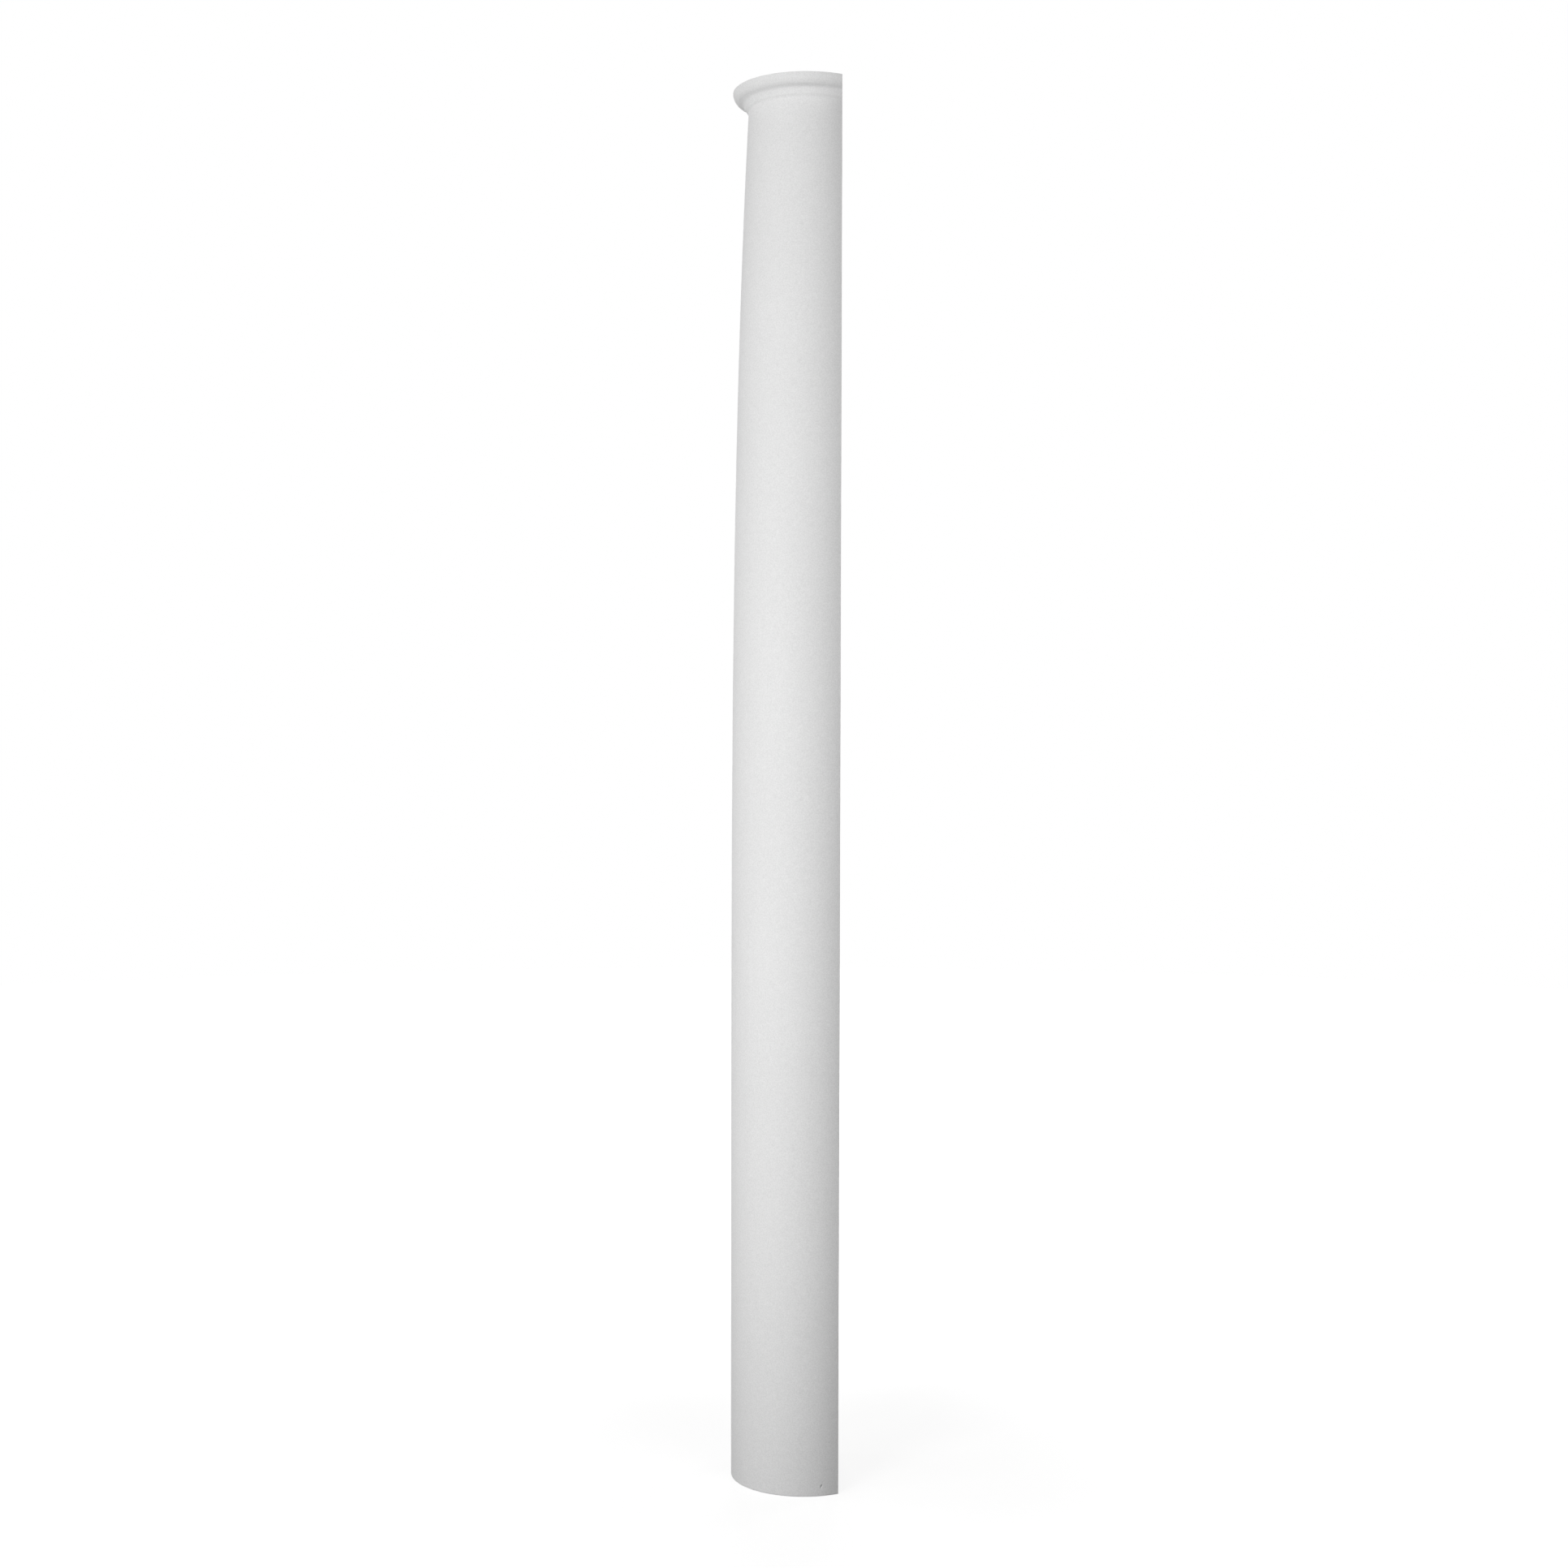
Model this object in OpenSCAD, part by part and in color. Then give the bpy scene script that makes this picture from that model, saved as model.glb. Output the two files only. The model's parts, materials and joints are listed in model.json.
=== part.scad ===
// Engaged column shaft: a plain round shaft with entasis and an astragal at its head,
// moulded in one piece and cut flat along the side that stands against the wall.
// Millimetres. The origin is on the shaft's axis at its underside, +Z is up,
// -Y is the front and +Y faces the wall.

/* [Shaft] */
// Height over all, from the cut foot to the top of the astragal
column_h = 2400; // [2000:10:3000]
// Diameter at the foot
foot_d = 250; // [200:1:320]
// How far the belly swells out beyond the foot, on the radius
belly_swell = 1.3; // [0:0.1:6]
// Where the belly is widest, as a share of the plain shaft's height
belly_at = 0.32; // [0.2:0.01:0.5]
// Diameter at the neck, as a share of the foot diameter
neck_ratio = 0.8; // [0.75:0.002:0.9]

/* [Astragal] */
// Height of the bead at the head
bead_h = 19; // [10:0.5:30]
// How far the bead stands out from the neck
bead_out = 27; // [22:0.5:34]
// Width of the arris that breaks the bead's top edge
arris = 1.5; // [0.5:0.1:3]
// Height of the band below the bead
band_h = 12.5; // [6:0.5:20]
// How far the band's lower edge stands out from the neck
band_out = 3.5; // [2:0.1:4]
// Height of the cove that eases the band into the shaft
cove_h = 3; // [1.5:0.1:6]

/* [Wall side] */
// Share of the foot diameter that stands out from the wall
engaged = 0.75; // [0.5:0.01:0.95]

/* [Hidden] */
shaft_steps = 48;   // straight stretches that make up the entasis
bead_steps = 10;    // stretches round the bead
cove_steps = 4;     // stretches round the cove
turn_facets = 180;  // facets in one turn
past = 10;          // how far a cutter reaches past what it cuts

foot_r = foot_d / 2;
belly_r = foot_r + belly_swell;
neck_r = foot_r * neck_ratio;
bead_r = neck_r + bead_out;
quarter = bead_h - arris;            // radius of the bead's quarter round
band_top_r = bead_r - quarter;
band_foot_r = neck_r + band_out;
shaft_h = column_h - bead_h - band_h - cove_h;
wall_y = (engaged - 0.5) * foot_d;   // the flat's distance behind the axis

// Radius of the plain shaft at height z: a slight swell up to the belly,
// then a cubic that draws in faster and faster towards the neck.
function shaft_r(z) =
    let (t = z / shaft_h)
    t < belly_at
        ? belly_r - belly_swell * pow((belly_at - t) / belly_at, 2)
        : belly_r - (belly_r - neck_r) * pow((t - belly_at) / (1 - belly_at), 3);

function shaft_line() =
    [for (i = [0 : shaft_steps])
        let (z = shaft_h * i / shaft_steps)
        [shaft_r(z), z]];

// Hollow curve from the neck out to the band's lower edge
function cove_line() =
    [for (i = [1 : cove_steps])
        let (a = 90 * i / cove_steps)
        [neck_r + band_out * (1 - cos(a)), shaft_h + cove_h * sin(a)]];

// Quarter round from the crease under the bead out to its widest point
function bead_line() =
    [for (i = [0 : bead_steps])
        let (a = 90 * i / bead_steps)
        [band_top_r + quarter * sin(a), column_h - arris - quarter * cos(a)]];

module turned_section() {
    polygon(concat(
        [[0, 0]],
        shaft_line(),
        cove_line(),
        bead_line(),
        [[bead_r - arris, column_h], [0, column_h]]
    ));
}

module wall_cut() {
    translate([-bead_r - past, wall_y, -past])
        cube([2 * (bead_r + past), bead_r + past, column_h + 2 * past]);
}

module column_shaft() {
    color("gainsboro")
    difference() {
        rotate_extrude($fn = turn_facets) turned_section();
        wall_cut();
    }
}

column_shaft();
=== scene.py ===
import json
import math

import bmesh
import bpy
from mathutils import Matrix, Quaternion, Vector, noise


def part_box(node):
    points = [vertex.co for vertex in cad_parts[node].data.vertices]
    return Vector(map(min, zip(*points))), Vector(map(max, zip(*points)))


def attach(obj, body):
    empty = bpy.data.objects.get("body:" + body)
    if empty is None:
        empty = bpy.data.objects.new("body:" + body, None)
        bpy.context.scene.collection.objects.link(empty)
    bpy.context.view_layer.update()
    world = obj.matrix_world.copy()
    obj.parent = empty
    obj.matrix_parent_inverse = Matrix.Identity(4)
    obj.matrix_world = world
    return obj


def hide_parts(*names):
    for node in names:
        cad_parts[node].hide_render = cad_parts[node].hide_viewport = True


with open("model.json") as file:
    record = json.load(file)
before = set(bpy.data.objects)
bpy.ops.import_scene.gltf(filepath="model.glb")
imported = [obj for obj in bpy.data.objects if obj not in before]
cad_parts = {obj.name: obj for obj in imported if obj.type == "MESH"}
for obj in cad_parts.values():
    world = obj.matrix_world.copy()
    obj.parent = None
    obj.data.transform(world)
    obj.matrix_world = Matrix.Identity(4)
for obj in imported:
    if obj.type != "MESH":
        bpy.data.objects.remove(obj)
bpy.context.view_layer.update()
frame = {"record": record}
low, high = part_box("column_shaft")
recordTone = frame["record"]["materials"][0]["base_color"][0]
print("frame loaded, shaft is", round(high.z - low.z, 4), "m tall")


# an output socket that can stand in a sum: each operator adds one Math node
class Link:
    def __init__(self, tree, socket):
        self.tree = tree
        self.socket = socket

    def __add__(self, other):
        return self.tree.maths("ADD", self, other)

    def __sub__(self, other):
        return self.tree.maths("SUBTRACT", self, other)

    def __rsub__(self, other):
        return self.tree.maths("SUBTRACT", other, self)

    def __mul__(self, other):
        return self.tree.maths("MULTIPLY", self, other)

    __radd__ = __add__
    __rmul__ = __mul__


class ShaderTree:
    def __init__(self, tree):
        self.tree = tree
        tree.nodes.clear()

    # kind, then its settings, then the values or links of its sockets
    def node(self, kind, settings=None, sockets=None, out=0):
        made = self.tree.nodes.new("ShaderNode" + kind)
        for name, value in (settings or {}).items():
            setattr(made, name, value)
        for name, value in (sockets or {}).items():
            if isinstance(value, Link):
                self.tree.links.new(value.socket, made.inputs[name])
            else:
                made.inputs[name].default_value = value
        return Link(self, made.outputs[out]) if len(made.outputs) else made

    def maths(self, operation, first, second):
        return self.node("Math", {"operation": operation}, {0: first, 1: second})

    # soft-edged step: 0 below the first value, 1 above the second
    def between(self, value, start, end):
        return self.node("MapRange", {"interpolation_type": "SMOOTHSTEP"},
                         {"Value": value, "From Min": start, "From Max": end})

    def grain(self, place, size, detail=2.0, roughness=0.5):
        return self.node("TexNoise", {"noise_dimensions": "3D"},
                         {"Vector": place, "Scale": 1 / size, "Detail": detail,
                          "Roughness": roughness})

    def mixColours(self, factor, first, second):
        return self.node("Mix", {"data_type": "RGBA"}, {0: factor, 6: first, 7: second}, out=2)


def grey(level):
    return (level, level, level, 1)


shaft = {
    "bellySwell": 0.0013,     # how far the belly swells beyond the foot
    "bellyAt": 0.32,          # share of the height where it is widest
    "neckRatio": 0.8,         # neck radius over foot radius
    "beadHeight": 0.019,
    "arris": 0.0015,          # rounding of the bead's top edge
    "bandHeight": 0.0125,
    "bandOut": 0.0035,        # band's lower edge beyond the neck
    "coveHeight": 0.003,
    "footSoftness": 0.0012,   # rounding of the cut foot's edge
    "edgeSoftness": 0.0011,   # rounding of the two upright edges of the flat
    "headPasses": 3,          # how often the head's profile is smoothed
    "creasePasses": 18,       # how often the crease under the bead is smoothed after that
    "creaseReach": 7,         # in points of the profile, up and down from the crease
    "ringStep": 0.007,        # height between rings on the plain shaft
    "fineStep": 0.001,        # and at the head and round the wounds
    "fineZone": 0.02,         # height below the cove that has fine rings too
    "roundFacets": 116,       # facets round the front, arris to arris
    "flatFacets": 22,         # facets across the flat back
    "footTurns": 3,           # stretches round the foot's edge
    "coveTurns": (30, 60, 90),
    "beadTurns": 24,
    "rimTurns": 4,
    "edgeTurns": 3,           # stretches round each upright edge of the flat
    "endCentre": -0.17,       # middle of each end, in foot radii from the axis
    "endShares": (0.985, 0.93, 0.8, 0.6, 0.35, 0.15),
}
wave = {
    "depth": 0.00022,         # hand-finished waviness of the round face
    "length": 0.17,
    "fineDepth": 0.00006,
    "fineLength": 0.028,
    "flatSqueeze": 1.7,       # the flat's waves are shorter by this much
    "seed": 4.7,
}
# two small wounds in the coat near the foot: a slanting nick and a pinhole
wounds = [
    {"angle": 105.7, "height": 0.0165, "halfLength": 0.0034, "halfWidth": 0.0015,
     "lean": 0.42, "depth": 0.002},
    {"angle": 112.0, "height": 0.0905, "halfLength": 0.0012, "halfWidth": 0.0012,
     "lean": 0.0, "depth": 0.0006},
]
woundShape = {
    "bluntness": 0.7,         # under 1 gives steep walls and a flat floor
    "reachUp": 3.0,           # how far fine rings run past the middle, in half lengths
    "reachRound": 2.6,
    "stepRound": 0.7,         # facets round there, in fine steps
}

columnHeight = high.z - low.z
beadRadius = (high.x - low.x) / 2
wallY = high.y
footRadius = 2 * wallY               # the flat lies half a foot radius behind the axis
edgeAngle = 120                      # degrees round from the front to the flat, at the foot
neckRadius = footRadius * shaft["neckRatio"]
beadDrop = shaft["beadHeight"] - shaft["arris"]
bandTopRadius = beadRadius - beadDrop
bandTopZ = columnHeight - shaft["beadHeight"]
bandFootZ = bandTopZ - shaft["bandHeight"]
plainHeight = bandFootZ - shaft["coveHeight"]
deepest = max(wound["depth"] for wound in wounds)


def entasis(z):
    t = z / plainHeight
    belly = footRadius + shaft["bellySwell"]
    if t < shaft["bellyAt"]:
        return belly - shaft["bellySwell"] * ((shaft["bellyAt"] - t) / shaft["bellyAt"]) ** 2
    return belly - (belly - neckRadius) * ((t - shaft["bellyAt"]) / (1 - shaft["bellyAt"])) ** 3


def spread(start, end, step):
    count = max(1, round(abs(end - start) / step))
    return [start + (end - start) * i / count for i in range(count + 1)]


def arcPoints(centre, radius, start, end, steps):
    turn = [math.radians(start + (end - start) * i / steps) for i in range(steps + 1)]
    return [(centre[0] + radius * math.cos(a), centre[1] + radius * math.sin(a)) for a in turn]


# neighbour averaging, which rounds a crease the way a coat of primer does
def softened(line, passes):
    for _ in range(passes):
        line = line[:1] + [
            tuple((a + 2 * b + c) / 4 for a, b, c in zip(before, here, after))
            for before, here, after in zip(line, line[1:], line[2:])
        ] + line[-1:]
    return line


# a line of places with closer ones round the middle value
def crowded(line, middle, reach, step):
    close = spread(middle - reach, middle + reach, step)
    return sorted([place for place in line if abs(place - middle) > reach + step] + close)


# (radius, height) pairs up the outside, from the foot's edge to the rim of the top
def profile():
    soft, fine = shaft["footSoftness"], shaft["fineStep"]
    headFrom = plainHeight - shaft["fineZone"]
    heights = spread(soft + fine, headFrom, shaft["ringStep"])
    for wound in wounds:
        heights = crowded(heights, wound["height"],
                          woundShape["reachUp"] * wound["halfLength"], fine)
    footLine = arcPoints((footRadius - soft, soft), soft, -90, 0, shaft["footTurns"])
    shaftLine = [(entasis(z), z) for z in heights]
    headLine = [(entasis(z), z) for z in spread(headFrom, plainHeight, fine)[1:]]
    for turn in shaft["coveTurns"]:
        bend = math.radians(turn)
        headLine.append((neckRadius + shaft["bandOut"] * (1 - math.cos(bend)),
                         plainHeight + shaft["coveHeight"] * math.sin(bend)))
    bandFootRadius = neckRadius + shaft["bandOut"]
    for z in spread(bandFootZ, bandTopZ, fine)[1:]:
        share = (z - bandFootZ) / shaft["bandHeight"]
        headLine.append((bandFootRadius + (bandTopRadius - bandFootRadius) * share, z))
    crease = len(headLine)
    beadCentre = (bandTopRadius, columnHeight - shaft["arris"])
    headLine += arcPoints(beadCentre, beadDrop, -90, 0, shaft["beadTurns"])[1:]
    headLine = softened(headLine, shaft["headPasses"])
    around = slice(crease - shaft["creaseReach"], crease + shaft["creaseReach"])
    headLine[around] = softened(headLine[around], shaft["creasePasses"])
    rim = (beadRadius - shaft["arris"], columnHeight - shaft["arris"])
    rimLine = arcPoints(rim, shaft["arris"], 0, 90, shaft["rimTurns"])[1:]
    return footLine + shaftLine + headLine + rimLine


# how far round each upright line of points stands, from -1 at one arris to 1 at the other
def roundPlaces():
    arcLength = footRadius * math.radians(edgeAngle)
    places = spread(-1, 1, 2 / shaft["roundFacets"])
    step = woundShape["stepRound"] * shaft["fineStep"] / arcLength
    for wound in wounds:
        reach = woundShape["reachRound"] * wound["halfLength"] / arcLength
        places = crowded(places, wound["angle"] / edgeAngle, reach, step)
    return places


def woundDepth(angle, z):
    depth = 0.0
    for wound in wounds:
        along = z - wound["height"]
        across = footRadius * math.radians(angle - wound["angle"]) - wound["lean"] * along
        away = math.hypot(across / wound["halfWidth"], along / wound["halfLength"])
        depth += wound["depth"] * max(0.0, 1 - away ** 2) ** woundShape["bluntness"]
    return depth


# inward only, so that the piece stays inside its box
def reliefDepth(point):
    slow = noise.noise(point / wave["length"] + Vector((wave["seed"], 0, 0)))
    fine = noise.noise(point / wave["fineLength"] + Vector((0, wave["seed"], 0)))
    return (wave["depth"] * (1 + slow) + wave["fineDepth"] * (1 + fine)) / 2


# points along a quadratic curve that cuts the corner
def bendAt(before, corner, after):
    steps = shaft["edgeTurns"]
    points = []
    for i in range(1, steps):
        t = i / steps
        points.append(before * (1 - t) ** 2 + corner * 2 * t * (1 - t) + after * t ** 2)
    return points


# one closed ring of points at height z: round the front, then back along the flat
def ring(radius, z, places):
    edge = math.acos(-wallY / radius)
    soft = shaft["edgeSoftness"]
    half = edge - soft / radius
    front = []
    for t in places:
        angle = half * t
        point = Vector((radius * math.sin(angle), -radius * math.cos(angle), z))
        depth = reliefDepth(point) + woundDepth(math.degrees(angle), z)
        front.append(point - Vector((math.sin(angle), -math.cos(angle), 0)) * depth)
    cornerX = radius * math.sin(edge)
    rightCorner = Vector((cornerX, wallY, z))
    leftCorner = Vector((-cornerX, wallY, z))
    flat = []
    for x in spread(cornerX - soft, soft - cornerX, 2 * (cornerX - soft) / shaft["flatFacets"]):
        point = Vector((x, wallY, z))
        flat.append(point - Vector((0, reliefDepth(point * wave["flatSqueeze"]), 0)))
    return (front + bendAt(front[-1], rightCorner, flat[0])
            + flat + bendAt(flat[-1], leftCorner, front[0]))


def closeEnd(mesh, rim, z, upward):
    centre = Vector((0, shaft["endCentre"] * footRadius, z))
    outer = rim
    for share in shaft["endShares"]:
        inner = [mesh.verts.new(centre + (v.co - centre) * share) for v in rim]
        for v in inner:
            v.co.z = z
        bridge(mesh, outer, inner, upward)
        outer = inner
    hub = mesh.verts.new(centre)
    for a, b in zip(outer, outer[1:] + outer[:1]):
        mesh.faces.new((a, b, hub) if upward else (b, a, hub))


def bridge(mesh, lower, upper, upward=True):
    for i in range(len(lower)):
        j = (i + 1) % len(lower)
        corners = (lower[i], lower[j], upper[j], upper[i])
        mesh.faces.new(corners if upward else corners[::-1])


def buildShaft():
    mesh = bmesh.new()
    places = roundPlaces()
    rings = [[mesh.verts.new(p) for p in ring(r, z, places)] for r, z in profile()]
    for lower, upper in zip(rings, rings[1:]):
        bridge(mesh, lower, upper)
    closeEnd(mesh, rings[0], 0.0, upward=False)
    closeEnd(mesh, rings[-1], columnHeight, upward=True)
    for face in mesh.faces:
        face.smooth = True
    # painted shade in the wounds: each point's share grows with the depth of the dent there
    dentShade = mesh.verts.layers.float.new("dentShade")
    for vert in mesh.verts:
        angle = math.degrees(math.atan2(vert.co.x, -vert.co.y))
        vert[dentShade] = min(1.0, woundDepth(angle, vert.co.z) / deepest)
    data = bpy.data.meshes.new("columnShaft")
    mesh.to_mesh(data)
    mesh.free()
    piece = bpy.data.objects.new("columnShaft", data)
    bpy.context.scene.collection.objects.link(piece)
    return piece


coat = {
    "tone": recordTone,       # neutral white primer
    "backTone": 0.92,         # the flat back has one thin coat, a little darker than the rest
    "dentShadeTone": 0.55,         # painted shade inside a wound in the coat, darkest where the dent is deepest
    "cloudSize": 0.16,        # broad unevenness of the coat
    "grainSize": 0.0023,      # fine stipple left by the roller
    "coarseGrain": 4,         # a second stipple, this many times as large
    "cloudShare": 0.1,        # what each of the three adds to the pattern
    "grainShare": 0.75,
    "coarseShare": 0.15,
    "frontRange": 0.19,       # how far the tone strays each way
    "backRange": 0.2,
    "backFrom": 0.0016,       # the back's coat starts this far in front of the flat
    "backFull": 0.0006,
    "dragWidth": 0.004,       # marks on the back, drawn off lengthwise
    "dragLength": 50,         # times as long as wide
    "dragHeight": 1.5,        # against the stipple's
    "roughness": 0.66,
    "roughnessSwing": 0.16,
    "backRoughness": 0.12,    # added on the back
    "stippleDepth": 0.0005,
    "stippleStrength": 0.6,
    "ior": 1.46,
    "shine": 0.35,
}


def primedCoat():
    material = bpy.data.materials.new("primedCoat")
    material.use_nodes = True
    tree = ShaderTree(material.node_tree)
    place = tree.node("TexCoord", out=3)
    cloud = tree.grain(place, coat["cloudSize"], 3.0)
    grain = tree.grain(place, coat["grainSize"], 2.0, 0.6)
    coarse = tree.grain(place, coat["grainSize"] * coat["coarseGrain"], 2.0)
    depthAxis = tree.node("SeparateXYZ", sockets={"Vector": place}, out=1)
    onBack = tree.between(depthAxis, wallY - coat["backFrom"], wallY - coat["backFull"])

    # light and dark limits of the tone, mixed by cloud and grain together
    pattern = (cloud * coat["cloudShare"] + grain * coat["grainShare"]
               + coarse * coat["coarseShare"])
    tone, backTone = coat["tone"], coat["tone"] * coat["backTone"]
    front = tree.mixColours(pattern, grey(tone * (1 - coat["frontRange"])),
                            grey(tone * (1 + coat["frontRange"])))
    back = tree.mixColours(pattern, grey(backTone * (1 - coat["backRange"])),
                           grey(backTone * (1 + coat["backRange"])))
    # painted shade in the wounds, darkest where each dent is deepest
    dentShade = tree.node("Attribute", {"attribute_name": "dentShade"}, out=2)
    coated = tree.mixColours(onBack, front, back)
    colour = tree.mixColours(dentShade, coated, grey(tone * coat["dentShadeTone"]))

    stretched = tree.node("Mapping", sockets={"Vector": place, "Scale": (1, 1, 1 / coat["dragLength"])})
    drag = tree.grain(stretched, coat["dragWidth"], 3.0)
    height = grain * 0.6 + coarse * 0.4 + drag * onBack * coat["dragHeight"]
    bump = tree.node("Bump", sockets={"Height": height, "Distance": coat["stippleDepth"],
                                      "Strength": coat["stippleStrength"]})
    roughness = ((coarse - 0.5) * coat["roughnessSwing"] + onBack * coat["backRoughness"]
                 + coat["roughness"])
    shader = tree.node("BsdfPrincipled", sockets={
        "Base Color": colour, "Roughness": roughness, "Normal": bump,
        "IOR": coat["ior"], "Specular IOR Level": coat["shine"],
    })
    tree.node("OutputMaterial", sockets={"Surface": shader})
    return material


piece = buildShaft()
piece.data.materials.append(primedCoat())
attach(piece, "root")
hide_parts("column_shaft")
print("column shaft built:", len(piece.data.polygons), "faces")


studio = {
    "floorRadius": 9.0,
    "floorFacets": 96,
    "floorDrop": 0.0002,      # below the foot, so that the two don't share a plane
    "nearTone": 0.05,         # the floor is dark underfoot, and sends little light up the shaft
    "farTone": 0.5,
    "shownTone": 0.3,         # what an eye sees of it, under the glow
    "shownGlow": 0.8,
    "nearUntil": 0.35,        # metres from the axis
    "farFrom": 1.3,
    "worldLevel": 0.14,       # soft light from all round
}
tallBox = {"distance": 4.5, "height": 1.6, "aim": 1.5, "size": (1.6, 2.6)}
highBox = {"distance": 4.5, "height": 3.2, "aim": 1.6, "size": (1.6, 1.6)}
nearBox = {"distance": 2.6, "height": 3.1, "aim": 1.7, "size": (1.6, 1.0)}
steepBox = {"distance": 3.2, "height": 4.2, "aim": 2.0, "size": (1.4, 1.0)}
lowBox = {"distance": 3.0, "height": 0.9, "aim": 0.9, "size": (1.2, 0.8)}
topBox = {"distance": 0.0, "height": 5.0, "aim": 0.0, "size": (1.0, 1.0)}
# each lamp's softbox, bearing in degrees from +X towards -Y, and power in watts
lamps = {
    "key": (tallBox, 30, 104),
    "lowFront": (lowBox, 60, 18),
    "highFar": (steepBox, 100, 15),
    "highEdge": (nearBox, -40, 15.5),
    "lowEdge": (lowBox, -30, 6),
    "wallFill": (tallBox, -130, 50),
    "farFill": (highBox, 180, 55),
    "overhead": (topBox, 0, 15),
}


# 1 on rays from the camera, from gloss and through glass, 0 on rays that carry soft light
def seenDirectly(tree):
    path = tree.node("LightPath", out=0).socket.node
    camera, glossy, through = (Link(tree, path.outputs["Is %s Ray" % kind])
                               for kind in ("Camera", "Glossy", "Transmission"))
    return tree.maths("MAXIMUM", tree.maths("MAXIMUM", camera, glossy), through)


def floorMaterial():
    material = bpy.data.materials.new("paleFloor")
    material.use_nodes = True
    tree = ShaderTree(material.node_tree)
    place = tree.node("TexCoord", out=3)
    reach = tree.node("VectorMath", {"operation": "LENGTH"}, {0: place}, out=1)
    clear = tree.between(reach, studio["nearUntil"], studio["farFrom"])
    seen = seenDirectly(tree)
    sends = tree.mixColours(clear, grey(studio["nearTone"]), grey(studio["farTone"]))
    tone = tree.mixColours(seen, sends, grey(studio["shownTone"]))
    glow = studio["shownGlow"] + clear * (1 - studio["shownGlow"])
    lit = tree.node("BsdfDiffuse", sockets={"Color": tone})
    shine = tree.node("Emission", sockets={"Color": grey(1.0), "Strength": glow * seen})
    both = tree.node("AddShader", sockets={0: lit, 1: shine})
    tree.node("OutputMaterial", sockets={"Surface": both})
    return material


def buildFloor():
    mesh = bmesh.new()
    bmesh.ops.create_circle(mesh, cap_ends=True, segments=studio["floorFacets"],
                              radius=studio["floorRadius"])
    data = bpy.data.meshes.new("floor")
    mesh.to_mesh(data)
    mesh.free()
    floor = bpy.data.objects.new("floor", data)
    floor.location.z = low.z - studio["floorDrop"]
    floor.data.materials.append(floorMaterial())
    bpy.context.scene.collection.objects.link(floor)


def lightWorld():
    world = bpy.data.worlds.new("studioWorld")
    bpy.context.scene.world = world
    world.use_nodes = True
    tree = ShaderTree(world.node_tree)
    strength = seenDirectly(tree) * (1 - studio["worldLevel"]) + studio["worldLevel"]
    background = tree.node("Background", sockets={"Color": grey(1.0), "Strength": strength})
    tree.node("OutputWorld", sockets={"Surface": background})


def placeLamp(name, box, bearing, power):
    turn = math.radians(bearing)
    data = bpy.data.lights.new(name, "AREA")
    data.shape = "RECTANGLE"
    data.size, data.size_y = box["size"]
    data.energy = power
    lamp = bpy.data.objects.new(name, data)
    lamp.location = (box["distance"] * math.cos(turn), -box["distance"] * math.sin(turn),
                     box["height"])
    lamp.rotation_mode = "QUATERNION"
    lamp.rotation_quaternion = (Vector((0, 0, box["aim"])) - lamp.location).to_track_quat("-Z", "Y")
    bpy.context.scene.collection.objects.link(lamp)


buildFloor()
lightWorld()
for name, (box, bearing, power) in lamps.items():
    placeLamp(name, box, bearing, power)
print("floor and", len(lamps), "lamps placed")


viewpoint = {
    "distance": 1.570,        # from the axis, in column heights
    "eyeHeight": 0.5216,      # above the floor, in column heights
    "clearOfFlat": 0.002,     # in front of the flat's plane, which hides it edge-on
    "lens": 49.7,
    "sensor": 36,
    "yaw": 1.46,              # degrees towards the front
    "pitch": 0.735,           # degrees down
    "roll": 0.15,
}


def placeCamera():
    data = bpy.data.cameras.new("camera")
    data.lens = viewpoint["lens"]
    data.sensor_width = viewpoint["sensor"]
    camera = bpy.data.objects.new("camera", data)
    camera.location = (columnHeight * viewpoint["distance"], wallY - viewpoint["clearOfFlat"],
                       columnHeight * viewpoint["eyeHeight"])
    yaw, pitch = math.radians(viewpoint["yaw"]), math.radians(viewpoint["pitch"])
    ahead = Vector((-math.cos(yaw) * math.cos(pitch), -math.sin(yaw) * math.cos(pitch),
                    -math.sin(pitch)))
    lean = Quaternion((0, 0, 1), math.radians(viewpoint["roll"]))
    camera.rotation_mode = "QUATERNION"
    camera.rotation_quaternion = ahead.to_track_quat("-Z", "Y") @ lean
    bpy.context.scene.collection.objects.link(camera)
    bpy.context.scene.camera = camera


placeCamera()
bpy.context.scene.view_settings.view_transform = "Standard"
print("camera placed")
